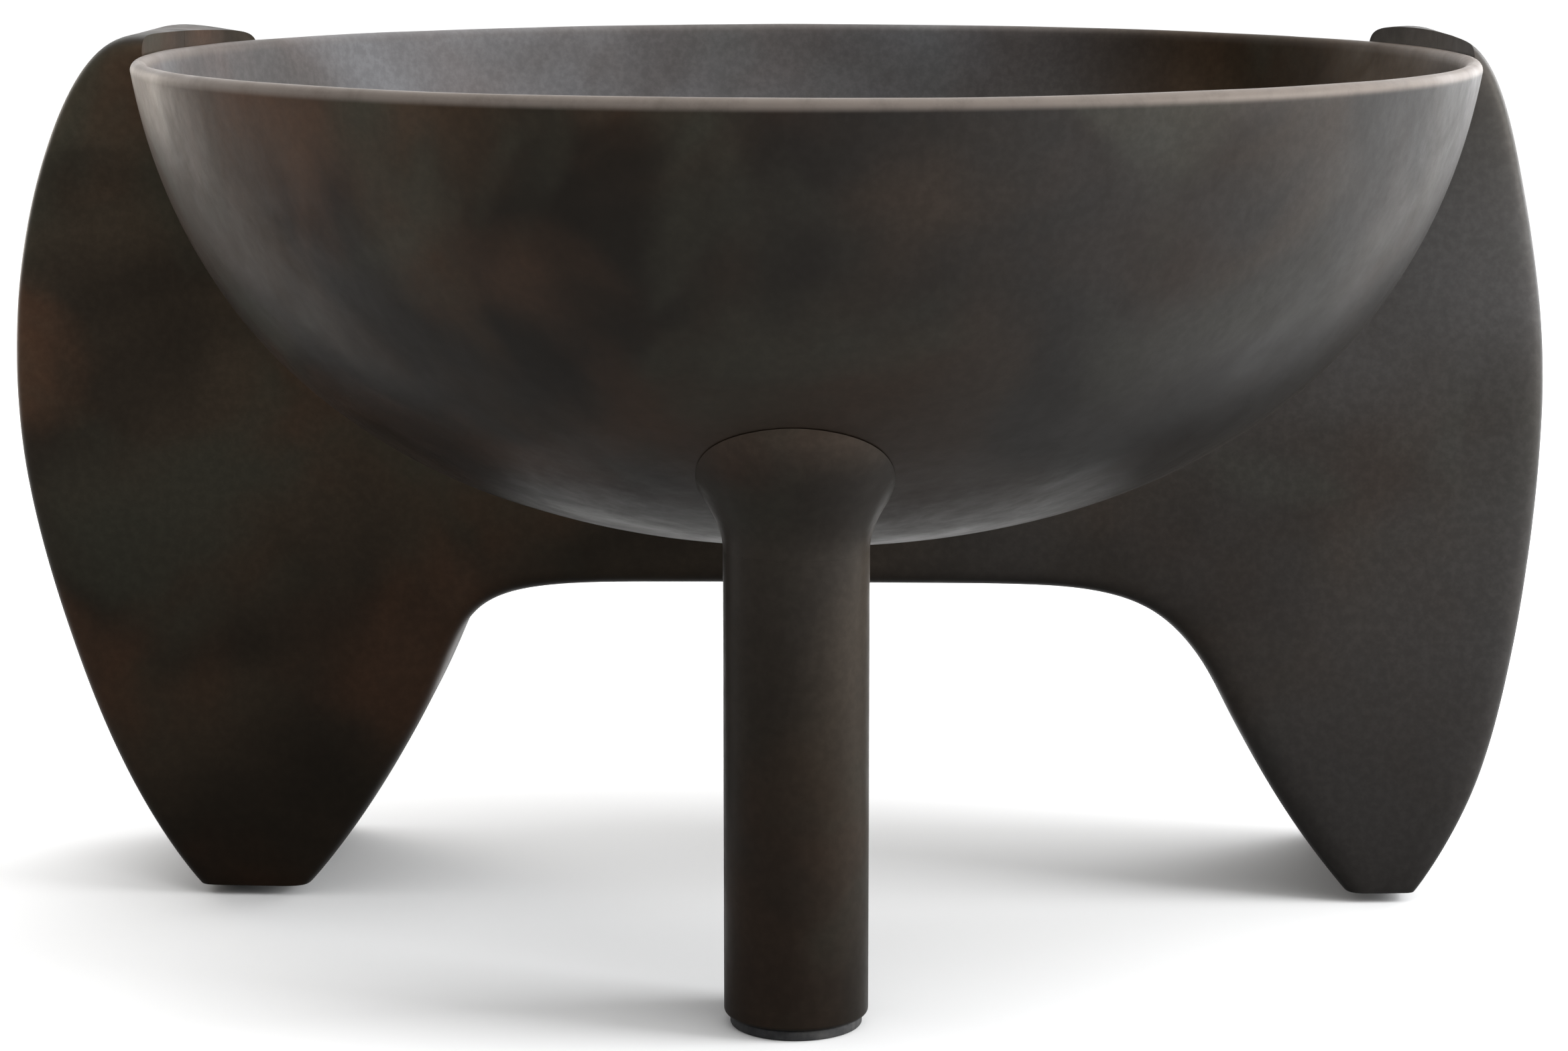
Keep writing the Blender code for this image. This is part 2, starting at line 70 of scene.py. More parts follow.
# Bowl: the outer curve leaves the bottom level and reaches the rim at a slant
BOWL_WALL = 0.0105
RIM_HEIGHT = 0.493
BOWL_BOTTOM = 0.224
BOTTOM_PULL = 0.213
RIM_PULL = Vector((0.028, 0.171))
BOWL_ROWS = 64
BOWL_SIDES = 192
LIP_STEPS = 14
BOWL_WAVES = (0.085, 0.0007)  # length and depth of the casting's unevenness
SEAT = BOWL_WALL - 0.0008  # flat seats for screw heads, sunk into the inside of the bowl
SEAT_ROOM, SEAT_CUT = 0.0012, 0.02
FLOOR_SHARE = 0.9  # of the rim's radius; faces beyond it that look up belong to the lip

# Yoke
YOKE_WALL = 0.008
SEAM_Y = YOKE_DEPTH / 2
FOOT_SOLID_TO = 0.040  # the feet are solid up to this height
YOKE_WAVES = (0.10, 0.0009)

# Right half: outer and inner edge of each station, from the middle to the foot
YOKE_STATIONS = (
    ((0.000, 0.494), (0.000, 0.188)),
    ((0.150, 0.494), (0.085, 0.188)),
    ((0.324, 0.499), (0.160, 0.188)),
    ((0.388, 0.522), (0.205, 0.176)),
    ((0.411, 0.440), (0.233, 0.145)),
    ((0.430, 0.340), (0.248, 0.114)),
    ((0.428, 0.240), (0.264, 0.085)),
    ((0.416, 0.140), (0.280, 0.058)),
    ((0.398, 0.060), (0.302, 0.026)),
    ((0.354, -0.010), (0.332, -0.010)),
)
LEFT_LOBE_EXTRA = 0.036  # the left lobe is this much wider, from this height up
LEFT_LOBE_FROM = 0.300
LOBE_TOP_SHARE = 0.50  # and it loses this share of the extra over its top
LOBE_TOP_FROM = 0.440
LEFT_LEG_EXTRA = 0.025  # the left leg is this much wider on its inner side, below this height
LEFT_LEG_BELOW = 0.210
LEFT_FADE = 0.080
YOKE_EDGE = 0.030  # how far from its edges the yoke starts to round over
NARROW_EDGE = 0.3  # but never more than this share of its width
YOKE_LEVELS = 4
CAVITY_LEVELS = 2

# Front leg, its flare, and the boss and tie rod inside
LEG_WALL = 0.004
FLARE_RADIUS = 0.069
FLARE_FROM, FLARE_TO = 0.256, 0.326
FLARE_ROWS = 32
TUBE_ROWS = 24
ROUND_SIDES, PAD_SIDES, SCREW_SIDES = 128, 96, 64
COLLAR_TOP = 0.400  # the collar's blank, before the bowl is cut out of it
SPIGOT_LENGTH = 0.030
FOOT_EDGE = 0.0025
TIE_RADIUS = 0.006
TIE_HOLE_Z = (0.2, 0.4)  # heights between which the tie rod's hole is cut
TIE_END = 0.010  # the rod ends about this far above the floor
TIE_HEAD, TIE_HEAD_HEIGHT, TIE_SOCKET = 0.015, 0.007, 0.0047
NUT_RECESS_RADIUS, NUT_RECESS_TOP = 0.015, 0.024
BOSS_RADIUS, BOSS_BEVEL, BOSS_FILLET = 0.021, 0.002, 0.012
BOSS_TOP, BOSS_NECK, BOSS_DROP, BOSS_LOW = 0.318, 0.004, 0.030, 0.25

# Screws, drain and pads
HEAD_EDGE, HEAD_BEVEL = 0.08, 0.0004  # height of a head's rim, as a share of the head, and its bevel
SOCKET_FLOOR = 0.35  # height of a socket's floor, as a share of the head
DRAIN_RADIUS, DRAIN_SOCKET = 0.0125, 0.0066
DRAIN_HEAD, DRAIN_HEAD_HEIGHT, DRAIN_LENGTH = 0.021, 0.006, 0.032
DRAIN_Y = -0.070
STRAP_WALL = 0.005
STRAP_ROOM = 0.0012  # all the gaps between bowl, yoke, strap and nut together
STRAP_Z = 0.325
BOLT_RADIUS, BOLT_SOCKET = 0.004, 0.0029
BOLT_HEAD = 0.010
BOLT_TAIL = 0.009
BOLT_Y = (0.056, 0.114)
SHELL_SCREWS = (("upper", 0.368, 0.345), ("lower", 0.342, 0.090))
SHELL_SCREW_RADIUS, SHELL_SCREW_SOCKET = 0.003, 0.0023
SHELL_SCREW_HEAD, SHELL_SCREW_HEAD_HEIGHT, SHELL_SCREW_HEAD_ROOM = 0.0065, 0.0035, 0.001
SHELL_SCREW_LENGTH, SHELL_SCREW_DEPTH = 0.095, 0.022
SHELL_BOSS_RADIUS = 0.011
GLIDE_EDGE, REAR_GLIDE_EDGE = 0.0012, 0.0008
GLIDE_SCREW_ASIDE = 0.037  # of the middle of the pad
GLIDE_HOLE_RADIUS, GLIDE_COUNTER_RADIUS, GLIDE_COUNTER_DEPTH = 0.0024, 0.0052, 0.0034

# Fire grate
GRATE_SLOTS = 7
GRATE_SLOT_WIDTH = 0.016
GRATE_SLOT_STEP = 0.044
GRATE_RIM = 0.022
GRATE_SPINE = 0.008  # half the width of the bar across the middle
GRATE_CHAMFER = 0.0015
GRATE_EDGE = 0.0009
SLOT_CUT = 0.01  # slot cutters stand out this far above and below

# Camera, as multiples of the rim's radius
CAMERA_DISTANCE = 5.651
CAMERA_HEIGHT = 1.619
CAMERA_ASIDE = -0.0324
CAMERA_PITCH = radians(10.27)
CAMERA_YAW = radians(1.45)
CAMERA_LENS, CAMERA_SENSOR = 86.0, 36.0  # in millimetres

# Studio lights: name, place, target, size, watts and colour
LIGHTS = (
    ("key", (2.7, -0.5, 1.05), (0, 0, 0.35), (1.4, 1.6), 100, (0.98, 0.99, 1.0)),
    ("rim_left", (-2.0, 2.0, 0.6), (0, 0, 0.3), (1.0, 1.2), 12, (1.0, 0.90, 0.78)),
    ("rim_right", (2.2, 2.2, 0.9), (0, 0, 0.3), (1.6, 1.6), 30, (0.97, 0.98, 1.0)),
    ("top", (0.2, -0.3, 3.2), (0, 0, 0), (3.4, 3.4), 64, (1, 1, 1)),
)

# Studio sky: the direction it is brightest in, and how it dims away from there
SKY_BRIGHT_SIDE = (0.36, 0.78, 0.52)
SKY_SPREAD = (-0.6, 0.75)
SKY_STRENGTH = (0.10, 1.75)

scene = bpy.context.scene
workshop = bpy.data.collections.new("cutters")
scene.collection.children.link(workshop)


def add_camera():
    camera = bpy.data.cameras.new("camera")
    camera.lens = CAMERA_LENS
    camera.sensor_width = CAMERA_SENSOR
    camera.clip_end = 50
    holder = bpy.data.objects.new("camera", camera)
    scene.collection.objects.link(holder)
    across = Vector((cos(CAMERA_YAW), sin(CAMERA_YAW), 0))
    back = Vector((sin(CAMERA_YAW), -cos(CAMERA_YAW), 0))
    place = (AXIS.translation + across * CAMERA_ASIDE * RIM_RADIUS
             + back * CAMERA_DISTANCE * RIM_RADIUS)
    holder.location = (place.x, place.y, CAMERA_HEIGHT * RIM_RADIUS)
    holder.rotation_euler = Euler((pi / 2 - CAMERA_PITCH, 0, CAMERA_YAW))
    scene.camera = holder


# Mesh helpers

def ease(x):
    x = min(max(x, 0.0), 1.0)
    return x * x * (3 - 2 * x)


def new_object(name, mesh, place=None, cutter=False):
    obj = bpy.data.objects.new(name, mesh)
    (workshop if cutter else scene.collection).objects.link(obj)
    obj.matrix_world = AXIS @ (place or Matrix())
    return obj


def mesh_from(name, bm):
    bmesh.ops.recalc_face_normals(bm, faces=bm.faces)
    mesh = bpy.data.meshes.new(name)
    bm.to_mesh(mesh)
    bm.free()
    return mesh


def box(name, low, high):
    low, high = Vector(low), Vector(high)
    bm = bmesh.new()
    bmesh.ops.create_cube(bm, size=1.0)
    bmesh.ops.scale(bm, vec=high - low, verts=bm.verts)
    bmesh.ops.translate(bm, vec=(low + high) / 2, verts=bm.verts)
    return new_object(name, mesh_from(name, bm), cutter=True)


def rod(name, radius, low, high, sides=48, place=None):
    bm = bmesh.new()
    bmesh.ops.create_cone(bm, cap_ends=True, segments=sides, radius1=radius, radius2=radius,
                          depth=high - low)
    bmesh.ops.translate(bm, vec=(0, 0, (low + high) / 2), verts=bm.verts)
    return new_object(name, mesh_from(name, bm), place, cutter=True)


def turned(name, profile, sides, place=None, cutter=False):
    """A solid of revolution about Z; the profile runs down its outer side."""
    bm = bmesh.new()
    points = [bm.verts.new((radius, 0, height)) for radius, height in profile]
    for first, second in zip(points, points[1:]):
        bm.edges.new((first, second))
    mesh = bpy.data.meshes.new(name)
    bm.to_mesh(mesh)
    bm.free()
    obj = new_object(name, mesh, place, cutter)
    screw = obj.modifiers.new("Turn", "SCREW")
    screw.steps = screw.render_steps = sides
    screw.use_merge_vertices = True
    screw.merge_threshold = 0.00001
    return settle(obj)


def settle(obj):
    """Applies every modifier to the mesh."""
    graph = bpy.context.evaluated_depsgraph_get()
    mesh = bpy.data.meshes.new_from_object(obj.evaluated_get(graph))
    obj.modifiers.clear()
    obj.data = mesh
    return obj


def boolean(obj, others, operation="DIFFERENCE"):
    for other in others:
        modifier = obj.modifiers.new(other.name, "BOOLEAN")
        modifier.operation = operation
        modifier.object = other
    settle(obj)
    for other in others:
        bpy.data.objects.remove(other)
    return obj


def shade(obj, angle=35):
    obj.data.shade_smooth()
    obj.data.set_sharp_from_angle(angle=radians(angle))
    return obj


def arc(centre, radius, start, end, steps):
    """Points from one angle to another, in degrees, about a centre."""
    turns = (radians(start + (end - start) * i / steps) for i in range(steps + 1))
    return [(centre[0] + radius * cos(a), centre[1] + radius * sin(a)) for a in turns]


def waves(obj, size, depth):
    """Slight unevenness of a cast and hand-dressed surface, in real geometry that only sinks in."""
    texture = bpy.data.textures.new(f"{obj.name}_waves", "CLOUDS")
    texture.noise_scale = size
    texture.noise_depth = 1
    modifier = obj.modifiers.new("Waves", "DISPLACE")
    modifier.texture = texture
    modifier.texture_coords = "LOCAL"
    modifier.strength = depth
    modifier.mid_level = 1.0
    return settle(obj)


# The bowl's curve

def curve_point(t):
    """Radius and height on the bowl's outer curve, from the bottom (0) to the rim (1)."""
    ends = (Vector((0, BOWL_BOTTOM)), Vector((RIM_RADIUS, RIM_HEIGHT)))
    pulls = (Vector((BOTTOM_PULL, BOWL_BOTTOM)), ends[1] - RIM_PULL)
    s = 1 - t
    return s**3 * ends[0] + 3 * s * s * t * pulls[0] + 3 * s * t * t * pulls[1] + t**3 * ends[1]


def curve_normal(t):
    """Unit normal in the (radius, height) plane, out of the bowl and downwards."""
    step = 0.001
    along = curve_point(min(t + step, 1)) - curve_point(max(t - step, 0))
    return Vector((along.y, -along.x)).normalized()


def bowl_curve(offset):
    """The curve moved out by an offset, from the rim down to the axis."""
    points = []
    for i in range(BOWL_ROWS, 0, -1):
        t = i / BOWL_ROWS
        points.append(tuple(curve_point(t) + offset * curve_normal(t)))
    return points + [(0.0, BOWL_BOTTOM - offset)]


def curve_where(axis, value):
    """Where the curve passes a radius (axis 0) or a height (axis 1)."""
    low, high = 0.0, 1.0
    for _ in range(40):
        middle = (low + high) / 2
        low, high = (middle, high) if curve_point(middle)[axis] < value else (low, middle)
    return low


def bowl_solid(name, offset):
    """The solid inside the bowl's outer curve moved out by an offset, carried up past the rim."""
    curve = bowl_curve(offset)
    return turned(name, [(0.0, REACH), (curve[0][0], REACH), *curve], BOWL_SIDES, cutter=True)


def surface_place(t, turn):
    """A frame on the bowl's outer surface whose Z axis points into the bowl."""
    radius, height = curve_point(t)
    normal = curve_normal(t)
    inwards = -Vector((normal.x * cos(turn), normal.x * sin(turn), normal.y))
    point = Vector((radius * cos(turn), radius * sin(turn), height))
    return Matrix.Translation(point) @ inwards.to_track_quat("Z", "Y").to_matrix().to_4x4()


# Places of the fasteners

leg_place = Matrix.Translation((0, LEG_Y, 0))
along_y = Matrix.Rotation(-pi / 2, 4, "X")
drain_place = surface_place(curve_where(0, -DRAIN_Y), -pi / 2)


def bolt_places():
    """Label, Y and frame of each bolt between the bowl and the yoke."""
    level = curve_where(1, STRAP_Z)
    radius = curve_point(level).x
    for side, sign in SIDES:
        for number, y in enumerate(BOLT_Y, 1):
            turn = atan2(y, sign * (radius**2 - y**2) ** 0.5)
            yield f"{side}_{number}", y, surface_place(level, turn)


def shell_screw_places():
    for side, sign in SIDES:
        for label, x, z in SHELL_SCREWS:
            place = Matrix.Translation((sign * x, YOKE_DEPTH - SHELL_SCREW_DEPTH, z)) @ along_y
            yield f"{side}_{label}", place


# Pieces

def make_boss():
    """The raised seat of the tie rod, flaring into the bowl's inside."""
    turns = (radians(degrees) for degrees in range(0, 91, 10))
    foot = [(BOSS_RADIUS + BOSS_FILLET * (1 - cos(a)), BOSS_TOP - BOSS_NECK - BOSS_DROP * sin(a))
            for a in turns]
    boss = turned("boss", [(0.0, BOSS_TOP), (BOSS_RADIUS - BOSS_BEVEL, BOSS_TOP),
                           (BOSS_RADIUS, BOSS_TOP - BOSS_BEVEL), *foot,
                           (BOSS_RADIUS + BOSS_FILLET, BOSS_LOW), (0.0, BOSS_LOW)],
                  PAD_SIDES, leg_place, cutter=True)
    return boolean(boss, [bowl_solid("boss_limit", -BOWL_WALL / 2)], "INTERSECT")


def make_bowl():
    normal = curve_normal(1.0)
    lean = atan2(normal.y, normal.x) * 180 / pi
    lip_centre = curve_point(1.0) - normal * BOWL_WALL / 2
    lip = arc(lip_centre, BOWL_WALL / 2, 180 + lean, lean, LIP_STEPS)
    inner, outer = bowl_curve(-BOWL_WALL), bowl_curve(0.0)
    bowl = turned("bowl", [*reversed(inner[1:]), *lip, *outer[1:]], BOWL_SIDES)
    waves(bowl, *BOWL_WAVES)
    boolean(bowl, [make_boss()], "UNION")
    cuts = [rod("tie_hole", TIE_RADIUS + GAP, *TIE_HOLE_Z, place=leg_place),
            rod("drain_hole", DRAIN_RADIUS + GAP, -THROUGH, THROUGH, place=drain_place),
            rod("drain_seat", DRAIN_HEAD + SEAT_ROOM, SEAT, SEAT + SEAT_CUT, SCREW_SIDES, drain_place)]
    for label, _, place in bolt_places():
        cuts.append(rod(f"hole_{label}", BOLT_RADIUS + GAP, -THROUGH, THROUGH, place=place))
        cuts.append(rod(f"seat_{label}", BOLT_HEAD + SEAT_ROOM, SEAT, SEAT + SEAT_CUT, place=place))
    boolean(bowl, cuts)
    dress(shade(bowl, 30), "hearth", "patina", "fire_bowl")
    # The inside gets a lighter copy of the patina, painted light; its blue-grey paints the lit left inside
    # wall
    bowl.data.materials.append(LOOKS["bowl_inside"])
    for face in bowl.data.polygons:
        faces_axis = face.normal.xy.dot(face.center.xy) < 0
        on_floor = face.normal.z > 0.5 and face.center.xy.length < RIM_RADIUS * FLOOR_SHARE
        if faces_axis or on_floor:
            face.material_index = 1


def yoke_stations():
    """Outer and inner edges of every station, from the left foot round to the right foot."""
    left = []
    for (outer_x, outer_z), (inner_x, inner_z) in YOKE_STATIONS[:0:-1]:
        top_loss = LOBE_TOP_SHARE * ease((outer_z - LOBE_TOP_FROM) / LEFT_FADE)
        lobe = LEFT_LOBE_EXTRA * ease(outer_z / LEFT_LOBE_FROM) * (1 - top_loss)
        leg = LEFT_LEG_EXTRA * ease((LEFT_LEG_BELOW - inner_z) / LEFT_FADE)
        left.append(((-outer_x - lobe, outer_z), (-inner_x + leg, inner_z)))
    return left + list(YOKE_STATIONS)


def yoke_blank(name, levels):
    """A coarse cage, four columns by four layers at every station, smoothed by subdivision."""
    layers = (0.0, YOKE_EDGE, YOKE_DEPTH - YOKE_EDGE, YOKE_DEPTH)
    last = len(layers) - 1
    bm = bmesh.new()
    grid = []
    for outer, inner in yoke_stations():
        outer, inner = Vector(outer), Vector(inner)
        edge = min(YOKE_EDGE / (inner - outer).length, NARROW_EDGE)
        columns = [outer.lerp(inner, share) for share in (0.0, edge, 1 - edge, 1.0)]
        grid.append([[bm.verts.new((point.x, y, point.y)) for y in layers] for point in columns])
    for near, far in zip(grid, grid[1:]):
        for a in range(last):
            for b in (0, last):
                bm.faces.new((near[a][b], near[a + 1][b], far[a + 1][b], far[a][b]))
                bm.faces.new((near[b][a], near[b][a + 1], far[b][a + 1], far[b][a]))
    for end in (grid[0], grid[-1]):
        for a in range(last):
            for b in range(last):
                bm.faces.new((end[a][b], end[a + 1][b], end[a + 1][b + 1], end[a][b + 1]))
    bmesh.ops.delete(bm, geom=[vert for vert in bm.verts if not vert.link_faces], context="VERTS")
    blank = new_object(name, mesh_from(name, bm), cutter=True)
    smooth = blank.modifiers.new("Soften", "SUBSURF")
    smooth.levels = smooth.render_levels = levels
    return settle(blank)


def make_cavity():
    """The hollow of the yoke, clear of the saddle skin, the feet and the screw bosses."""
    cavity = yoke_blank("cavity", CAVITY_LEVELS)
    bm = bmesh.new()
    bm.from_mesh(cavity.data)
    bm.normal_update()
    moves = [(vert, vert.normal.copy()) for vert in bm.verts]
    for vert, normal in moves:
        vert.co -= normal * YOKE_WALL
    cavity.data = mesh_from("cavity", bm)
    cuts = [bowl_solid("saddle_skin", YOKE_WALL + GAP),
            box("solid_feet", (-REACH, -REACH, -REACH), (REACH, REACH, FOOT_SOLID_TO))]
    for side, sign in SIDES:
        for label, x, z in SHELL_SCREWS:
            place = Matrix.Translation((sign * x, 0, z)) @ along_y
            cuts.append(rod(f"boss_{side}_{label}", SHELL_BOSS_RADIUS, -0.05, 0.25, place=place))
    return boolean(cavity, cuts)


def make_yoke():
    halves = (("front", SEAM_Y - GAP / 2, REACH), ("back", -REACH, SEAM_Y + GAP / 2))
    for label, low, high in halves:
        yoke = yoke_blank(f"yoke_{label}", YOKE_LEVELS)
        workshop.objects.unlink(yoke)
        scene.collection.objects.link(yoke)
        waves(yoke, *YOKE_WAVES)
        cuts = [box("beyond", (-REACH, low, -REACH), (REACH, high, REACH)),
                box("foot_level", (-REACH, -REACH, -REACH), (REACH, REACH, FLOOR_GAP)),
                make_cavity(), bowl_solid("recess", 2 * GAP)]
        for name, y, place in bolt_places():
            if (y < SEAM_Y) == (label == "front"):
                cuts.append(rod(f"hole_{name}", BOLT_RADIUS + GAP, -THROUGH, THROUGH, place=place))
        for name, place in shell_screw_places():
            if label == "back":
                cuts.append(rod(f"head_{name}", SHELL_SCREW_HEAD + SHELL_SCREW_HEAD_ROOM, -GAP, 0.08,
                                place=place))
                cuts.append(rod(f"room_{name}", SHELL_SCREW_RADIUS + 2 * GAP, -0.1, 0.01, place=place))
            else:
                cuts.append(rod(f"tap_{name}", SHELL_SCREW_RADIUS + GAP, -0.1, 0.0, place=place))
        boolean(yoke, cuts)
        dress(shade(yoke, 40), "hearth", "patina", f"yoke_{label}_shell")


def make_collar(bore, spigot):
    height = FLARE_TO - FLARE_FROM
    flare = []
    for i in range(FLARE_ROWS, -1, -1):
        rise = i / FLARE_ROWS
        flare.append((LEG_RADIUS + (FLARE_RADIUS - LEG_RADIUS) * ease(rise), FLARE_FROM + height * rise))
    spigot_end = FLARE_FROM - SPIGOT_LENGTH
    profile = [(bore, COLLAR_TOP), (FLARE_RADIUS, COLLAR_TOP), *flare, (spigot, FLARE_FROM),
               (spigot, spigot_end), (bore, spigot_end), (bore, COLLAR_TOP)]
    collar = turned("collar", profile, ROUND_SIDES, leg_place)
    boolean(collar, [bowl_solid("collar_seat", GAP)])
    dress(shade(collar), "hearth", "patina", "leg_collar")


def make_tube(low):
    top, inside = FLARE_FROM - HAIRLINE, LEG_RADIUS - LEG_WALL
    side = [(LEG_RADIUS, top + (low - top) * i / TUBE_ROWS) for i in range(TUBE_ROWS + 1)]
    tube = turned("leg_tube", [(inside, top), *side, (inside, low), (inside, top)], ROUND_SIDES, leg_place)
    dress(shade(tube), "hearth", "patina", "front_leg")


def make_foot(bore, spigot, tube_low):
    shoulder = tube_low - HAIRLINE
    profile = [(bore, FOOT_SOLID_TO), (spigot, FOOT_SOLID_TO), (spigot, shoulder), (LEG_RADIUS, shoulder),
               *arc((LEG_RADIUS - FOOT_EDGE, FLOOR_GAP + FOOT_EDGE), FOOT_EDGE, 0, -90, 6),
               (NUT_RECESS_RADIUS, FLOOR_GAP), (NUT_RECESS_RADIUS, NUT_RECESS_TOP),
               (bore, NUT_RECESS_TOP), (bore, FOOT_SOLID_TO)]
    dress(shade(turned("leg_foot", profile, ROUND_SIDES, leg_place)), "hearth", "patina", "leg_foot_plug")


def make_leg():
    """Flared collar, tube and closed foot."""
    bore, spigot = TIE_RADIUS + GAP, LEG_RADIUS - LEG_WALL - GAP
    make_collar(bore, spigot)
    make_tube(leg_low.z)
    make_foot(bore, spigot, leg_low.z)


def stadium(name, width, length, low, high, place, edge, steps=16):
    """An upright strip with round ends and softened edges."""
    half, straight = width / 2, length / 2 - width / 2
    outline = [(x, straight + y) for x, y in arc((0, 0), half, 0, 180, steps)]
    outline += [(x, y - straight) for x, y in arc((0, 0), half, 180, 360, steps)]
    bm = bmesh.new()
    base = bm.faces.new([bm.verts.new((x, y, low)) for x, y in outline])
    raised = bmesh.ops.extrude_face_region(bm, geom=[base])["geom"]
    bmesh.ops.translate(bm, vec=(0, 0, high - low),
                        verts=[item for item in raised if isinstance(item, bmesh.types.BMVert)])
    obj = new_object(name, mesh_from(name, bm), place)
    if edge:
        bevel = obj.modifiers.new("Edge", "BEVEL")
        bevel.width = edge
        bevel.segments = 3
        bevel.limit_method = "ANGLE"
        bevel.angle_limit = radians(50)
        settle(obj)
    return obj


def make_glides():
    """The round pad under the leg and the two strips under the yoke."""
    low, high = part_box("front_glide")
    radius = (high.x - low.x) / 2
    inner = radius - GLIDE_EDGE
    profile = [(0.0, high.z), (inner, high.z),
               *arc((inner, high.z - GLIDE_EDGE), GLIDE_EDGE, 90, 0, 5),
               *arc((inner, low.z + GLIDE_EDGE), GLIDE_EDGE, 0, -90, 5), (0.0, low.z)]
    dress(shade(turned("glide_front", profile, PAD_SIDES, leg_place)), "hearth", "rubber", "front_glide")
    for side, _ in SIDES:
        low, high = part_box(f"rear_glide_{side}")
        middle = (low + high) / 2
        place = AXIS.inverted() @ Matrix.Translation((middle.x, middle.y, 0))
        glide = stadium(f"glide_{side}", high.x - low.x, high.y - low.y, low.z, high.z, place,
                        REAR_GLIDE_EDGE)
        cuts = []
        for y in (-GLIDE_SCREW_ASIDE, GLIDE_SCREW_ASIDE):
            at = place @ Matrix.Translation((0, y, 0))
            cuts.append(rod(f"through_{y}", GLIDE_HOLE_RADIUS, -0.01, 0.02, 32, at))
            cuts.append(rod(f"counter_{y}", GLIDE_COUNTER_RADIUS, -0.01, GLIDE_COUNTER_DEPTH, 32, at))
        boolean(glide, cuts)
        dress(shade(glide), "hearth", "rubber", f"rear_glide_{side}")


def make_button(name, node, place, head, thick, radius, length, socket):
    """A dome-headed screw with a hexagon socket."""
    dome = [(head * sin(a), thick * cos(a)) for a in (radians(d) for d in range(0, 85, 7))]
    edge = [(head, thick * HEAD_EDGE), (head - HEAD_BEVEL, 0.0)]
    profile = [*dome, *edge, (radius, 0.0), (radius, -length), (0.0, -length)]
    screw = turned(name, profile, SCREW_SIDES, place)
    boolean(screw, [rod(f"{name}_socket", socket, thick * SOCKET_FLOOR, thick * 2, 6, place)])
    dress(shade(screw), "hearth", "steel", node)


def make_screws():
    """Saddle bolts, yoke screws, drain plug and tie rod."""
    nut_seat = -(YOKE_WALL + STRAP_WALL + STRAP_ROOM)
    on_seat = Matrix.Translation((0, 0, SEAT + GAP))
    for label, _, place in bolt_places():
        make_button(f"bolt_{label}", f"saddle_bolt_{label}", place @ on_seat,
                    BOLT_HEAD, BOLT_HEAD / 2, BOLT_RADIUS, SEAT - nut_seat + BOLT_TAIL, BOLT_SOCKET)
    for label, place in shell_screw_places():
        make_button(f"screw_{label}", f"yoke_screw_{label}", place @ Matrix.Translation((0, 0, GAP)),
                    SHELL_SCREW_HEAD, SHELL_SCREW_HEAD_HEIGHT, SHELL_SCREW_RADIUS, SHELL_SCREW_LENGTH,
                    SHELL_SCREW_SOCKET)
    make_button("drain", "drain_plug", drain_place @ on_seat,
                DRAIN_HEAD, DRAIN_HEAD_HEIGHT, DRAIN_RADIUS, DRAIN_LENGTH, DRAIN_SOCKET)
    make_button("tie", "leg_tie_rod", leg_place @ Matrix.Translation((0, 0, BOSS_TOP + GAP)),
                TIE_HEAD, TIE_HEAD_HEIGHT, TIE_RADIUS, BOSS_TOP - TIE_END, TIE_SOCKET)


def make_grate():
    """The loose slotted grate, which rides the body that lifts."""
    radius = (grate_high.x - grate_low.x) / 2
    low, high = grate_low.z, grate_high.z
    grate = turned("grate", [(0.0, high), (radius - GRATE_CHAMFER, high), (radius, high - GRATE_CHAMFER),
                             (radius, low), (0.0, low)], BOWL_SIDES)
    cuts = []
    for index in range(GRATE_SLOTS):
        x = (index - (GRATE_SLOTS - 1) / 2) * GRATE_SLOT_STEP
        reach = ((radius - GRATE_RIM) ** 2 - x**2) ** 0.5
        for sign in (-1, 1):
            place = Matrix.Translation((x, sign * (GRATE_SPINE + reach) / 2, 0))
            cuts.append(stadium(f"slot_{index}_{sign}", GRATE_SLOT_WIDTH, reach - GRATE_SPINE,
                                low - SLOT_CUT, high + SLOT_CUT, place, 0))
    boolean(grate, cuts)
    bevel = grate.modifiers.new("Edge", "BEVEL")
    bevel.width = GRATE_EDGE
    bevel.segments = 2
    bevel.limit_method = "ANGLE"
    bevel.angle_limit = radians(40)
    settle(grate)
    dress(shade(grate, 40), "grate", "raw_iron", "fire_grate")


# Materials

